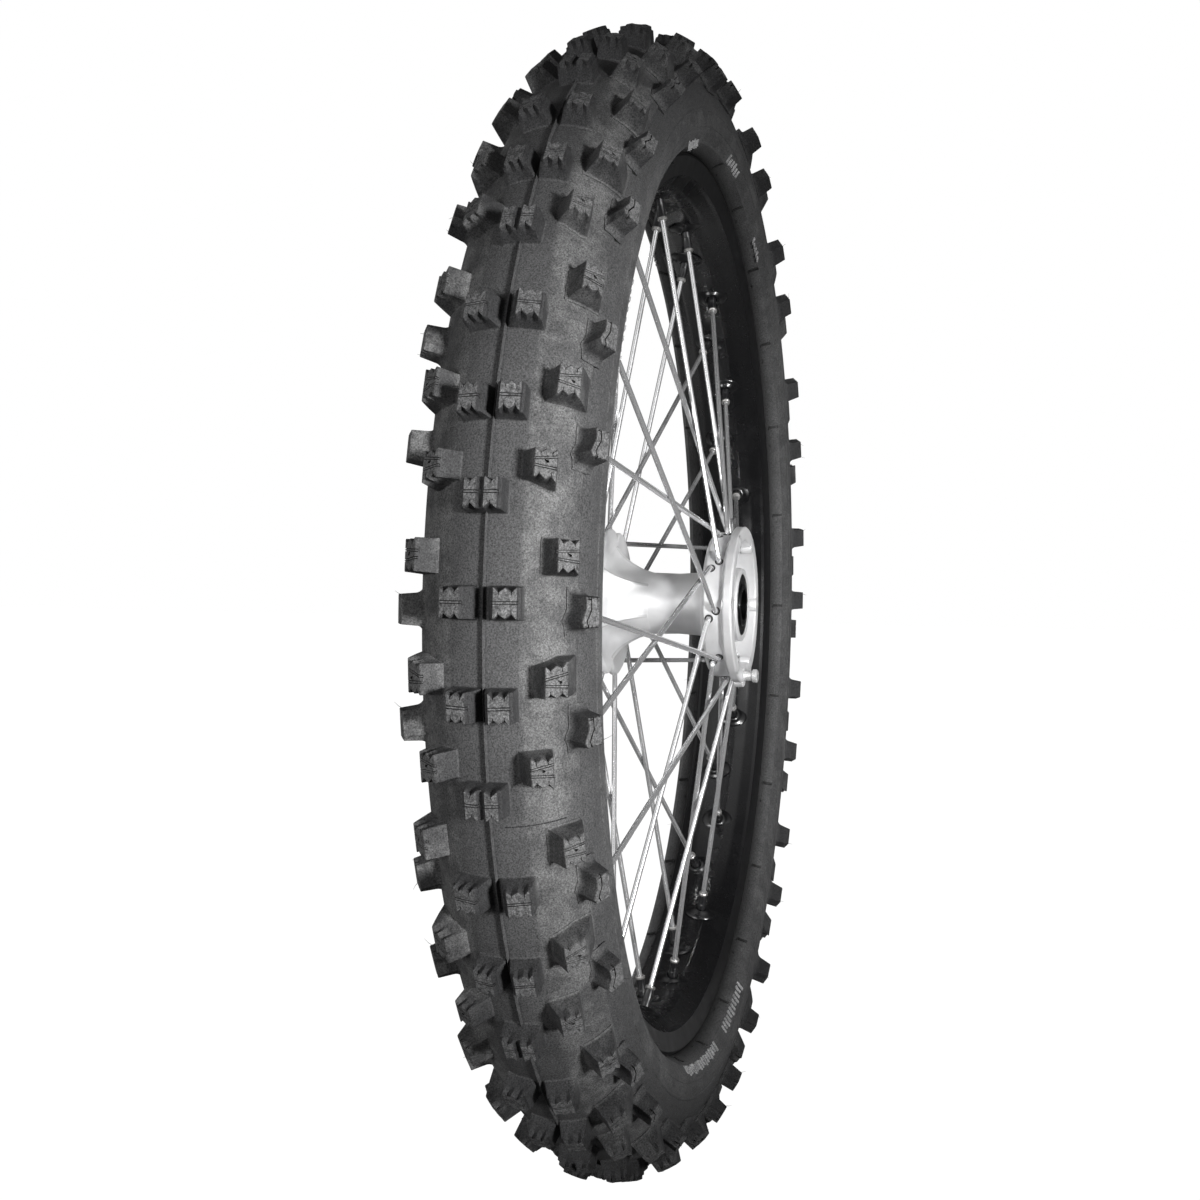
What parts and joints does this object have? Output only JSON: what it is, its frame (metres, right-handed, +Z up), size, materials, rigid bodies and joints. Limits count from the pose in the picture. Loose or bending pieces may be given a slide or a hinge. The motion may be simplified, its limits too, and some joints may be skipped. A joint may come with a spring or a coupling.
{
  "type": "motocross front wheel with knobbly tyre",
  "caption": "Spoked motocross front wheel with a knobbly tyre, an aluminium hub on sealed ball bearings and a flange for a brake disc.",
  "frame": {"origin": "on the axle's centre line, in the rim's middle plane, halfway between the two axle collars' ends", "axes": "+Y along the axle towards the brake disc's side, +Z up, +X to the front"},
  "size_m": [0.7116, 0.1218, 0.7116],
  "materials": {
    "tyre_rubber": "matt black moulded rubber",
    "bead_wire": "bronze-coated steel wire",
    "tube_rubber": "butyl rubber",
    "strip_rubber": "smooth rubber band",
    "rim_black": "black anodised aluminium, glossy well and satin edges",
    "nipple_black": "black coated nipple",
    "spoke_steel": "bright zinc-plated drawn steel",
    "hub_alloy": "fine cast and tumbled aluminium",
    "bright_steel": "bright plated steel",
    "bearing_steel": "ground bearing steel",
    "cage_brass": "pressed brass cage",
    "shield_rubber": "moulded rubber shield",
    "spring_steel": "phosphated spring steel",
    "seal_rubber": "nitrile rubber",
    "collar_alloy": "turned aluminium",
    "valve_brass": "nickel-plated brass",
    "cap_plastic": "moulded nylon",
    "lock_rubber": "ribbed rubber over alloy"
  },
  "bodies": {
    "axle_core": {"bearing_right_inner_race": "bearing_steel", "bearing_left_inner_race": "bearing_steel", "distance_tube": "collar_alloy", "axle_collar_right": "collar_alloy", "axle_collar_left": "collar_alloy"},
    "wheel": {"tyre": "tyre_rubber", "bead_core_right": "bead_wire", "bead_core_left": "bead_wire", "inner_tube": "tube_rubber", "rim_strip": "strip_rubber", "rim": "rim_black", "nipples_right": "nipple_black", "nipples_left": "nipple_black", "hub": "hub_alloy", "sensor_magnet_post": "bright_steel", "bearing_right_outer_race": "bearing_steel", "bearing_right_shields": "shield_rubber", "bearing_left_outer_race": "bearing_steel", "bearing_left_shields": "shield_rubber", "bearing_circlip": "spring_steel", "oil_seal_right": "seal_rubber", "oil_seal_left": "seal_rubber", "valve_stem": "valve_brass", "valve_core": "valve_brass", "valve_cap": "cap_plastic", "valve_nut": "bright_steel", "rim_lock_shoe": "lock_rubber", "rim_lock_stud": "bright_steel", "rim_lock_washer": "seal_rubber", "rim_lock_nut": "bright_steel", "spokes_right_forward": "spoke_steel", "spokes_right_rearward": "spoke_steel", "spokes_left_forward": "spoke_steel", "spokes_left_rearward": "spoke_steel"},
    "ball_set_right": {"bearing_right_balls": "bearing_steel", "bearing_right_cage": "cage_brass"},
    "ball_set_left": {"bearing_left_balls": "bearing_steel", "bearing_left_cage": "cage_brass"},
    "valve_pin_body": {"valve_pin": "valve_brass"}
  },
  "joints": [
    {"name": "wheel_spin", "type": "hinge", "parent": "axle_core", "child": "wheel", "pos_m": [0, 0, 0], "axis": [0, 1, 0], "continuous": true},
    {"name": "right_balls_roll", "type": "hinge", "parent": "axle_core", "child": "ball_set_right", "pos_m": [0, 0.043, 0], "axis": [0, 1, 0], "continuous": true},
    {"name": "left_balls_roll", "type": "hinge", "parent": "axle_core", "child": "ball_set_left", "pos_m": [0, -0.039, 0], "axis": [0, 1, 0], "continuous": true},
    {"name": "valve_pin_press", "type": "slide", "parent": "wheel", "child": "valve_pin_body", "axis": [0.9659, 0, 0.2588], "range_m": [0, 0.001], "stiffness_N_per_m": 300}
  ],
  "couplings": [
    {"joint": "right_balls_roll", "follows": "wheel_spin", "ratio": 0.5912},
    {"joint": "left_balls_roll", "follows": "wheel_spin", "ratio": 0.5912}
  ]
}
